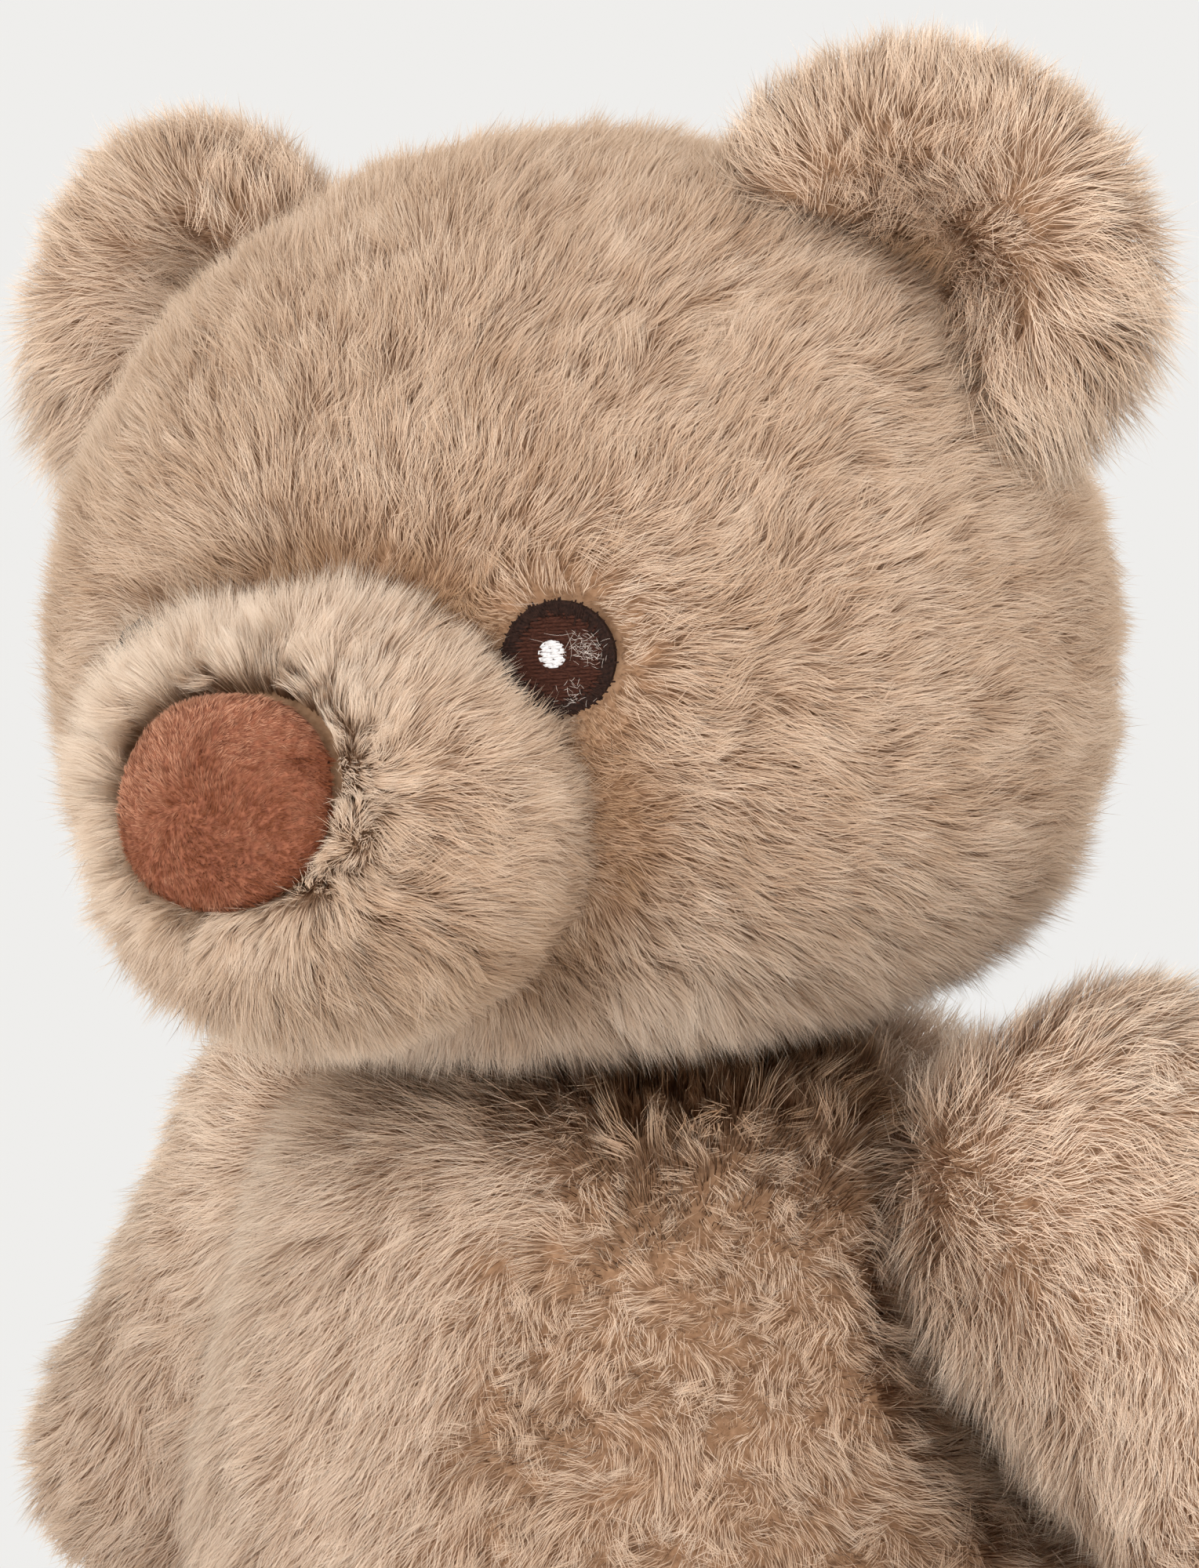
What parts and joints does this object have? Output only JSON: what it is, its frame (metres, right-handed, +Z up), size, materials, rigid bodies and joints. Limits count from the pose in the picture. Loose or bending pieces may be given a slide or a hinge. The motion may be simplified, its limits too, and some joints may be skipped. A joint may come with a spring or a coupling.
{
  "type": "jointed teddy bear",
  "caption": "Jointed plush teddy bear, sitting, with a swivelling head and disc-jointed arms and legs, embroidered eyes and a padded nose patch.",
  "frame": {"origin": "centre of the flat seat under the torso", "axes": "+Z up through the neck, the face looks along -Y, the bear's left side is +X"},
  "size_m": [0.2642, 0.1838, 0.268],
  "materials": {
    "plush_fur": "matte",
    "muzzle_plush": "matte",
    "nose_minky": "satin",
    "pad_minky": "satin",
    "thread_brown": "satin",
    "thread_black": "satin",
    "thread_white": "satin",
    "stuffing": "matte",
    "joint_plastic": "matte"
  },
  "bodies": {
    "torso": {"torso_cover": "plush_fur", "torso_stuffing": "stuffing", "neck_washer": "joint_plastic", "shoulder_left_washer": "joint_plastic", "shoulder_right_washer": "joint_plastic", "hip_left_washer": "joint_plastic", "hip_right_washer": "joint_plastic"},
    "head": {"head_cover": "plush_fur", "head_stuffing": "stuffing", "muzzle_cover": "muzzle_plush", "muzzle_stuffing": "stuffing", "nose_patch": "nose_minky", "eye_left_iris": "thread_brown", "eye_left_outline": "thread_black", "eye_left_glint": "thread_white", "eye_right_iris": "thread_brown", "eye_right_outline": "thread_black", "eye_right_glint": "thread_white", "ear_left_front": "plush_fur", "ear_left_back": "plush_fur", "ear_right_front": "plush_fur", "ear_right_back": "plush_fur", "neck_stud_disc": "joint_plastic", "neck_lock_ring": "joint_plastic"},
    "arm_left": {"arm_left_cover": "plush_fur", "arm_left_stuffing": "stuffing", "shoulder_left_stud_disc": "joint_plastic", "shoulder_left_lock_ring": "joint_plastic"},
    "leg_left": {"leg_left_cover": "plush_fur", "leg_left_stuffing": "stuffing", "leg_left_sole": "pad_minky", "hip_left_stud_disc": "joint_plastic", "hip_left_lock_ring": "joint_plastic"},
    "arm_right": {"arm_right_cover": "plush_fur", "arm_right_stuffing": "stuffing", "shoulder_right_stud_disc": "joint_plastic", "shoulder_right_lock_ring": "joint_plastic"},
    "leg_right": {"leg_right_cover": "plush_fur", "leg_right_stuffing": "stuffing", "leg_right_sole": "pad_minky", "hip_right_stud_disc": "joint_plastic", "hip_right_lock_ring": "joint_plastic"}
  },
  "joints": [
    {"name": "neck_swivel", "type": "hinge", "parent": "torso", "child": "head", "pos_m": [0, -0.0035, 0.1402], "axis": [0, 0, 1], "continuous": true},
    {"name": "shoulder_left", "type": "hinge", "parent": "torso", "child": "arm_left", "pos_m": [0.047, 0.009, 0.1155], "axis": [-1, 0, 0], "range_deg": [-90, 90]},
    {"name": "hip_left", "type": "hinge", "parent": "torso", "child": "leg_left", "pos_m": [0.044, 0, 0.031], "axis": [-1, 0, 0], "range_deg": [-90, 15]},
    {"name": "shoulder_right", "type": "hinge", "parent": "torso", "child": "arm_right", "pos_m": [-0.047, 0.009, 0.1155], "axis": [-1, 0, 0], "range_deg": [-90, 90]},
    {"name": "hip_right", "type": "hinge", "parent": "torso", "child": "leg_right", "pos_m": [-0.044, 0, 0.031], "axis": [-1, 0, 0], "range_deg": [-90, 15]}
  ]
}
